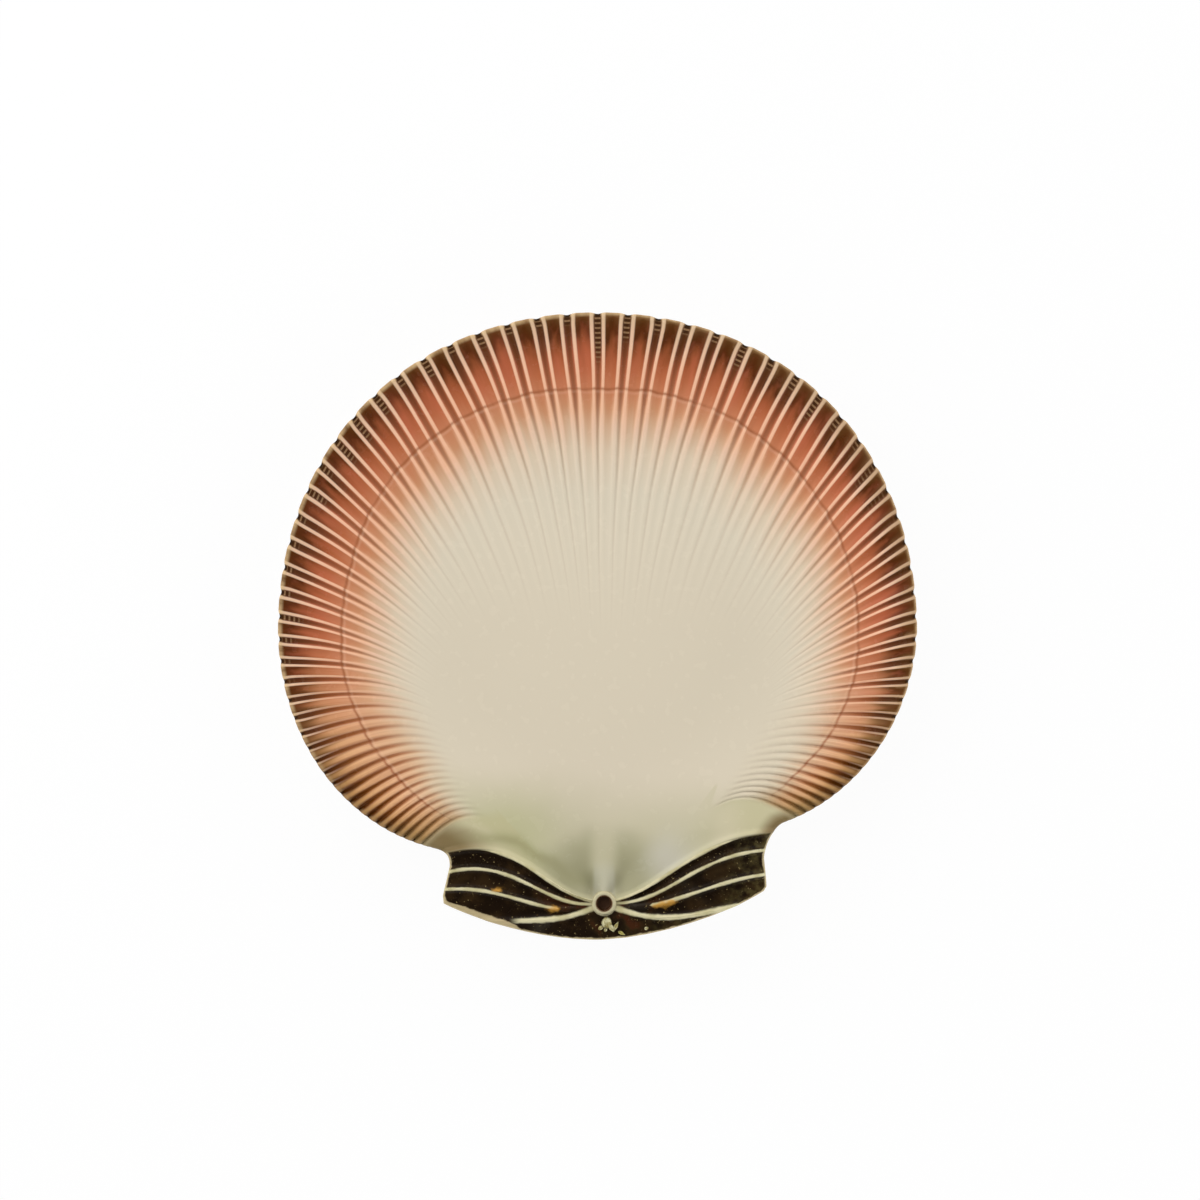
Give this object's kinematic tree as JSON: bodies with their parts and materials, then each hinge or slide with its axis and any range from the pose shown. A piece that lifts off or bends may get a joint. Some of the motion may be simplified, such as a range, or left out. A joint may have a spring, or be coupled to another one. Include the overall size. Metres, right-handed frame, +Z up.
{
  "type": "shell plate",
  "caption": "Scallop-shell plate in glazed ceramic, with a ribbed fan, two ridged ears, a hinge ring and a round foot.",
  "frame": {"origin": "on the table under the middle of the plate's bounding box", "axes": "+Z up out of the dish; +Y from the hinge towards the top of the fan; +X towards the longer ear, on the right as seen from above with the hinge at the bottom"},
  "size_m": [0.222, 0.2182, 0.0215],
  "materials": {
    "glaze": "gloss"
  },
  "bodies": {
    "root": {"plate": "glaze"}
  },
  "joints": []
}
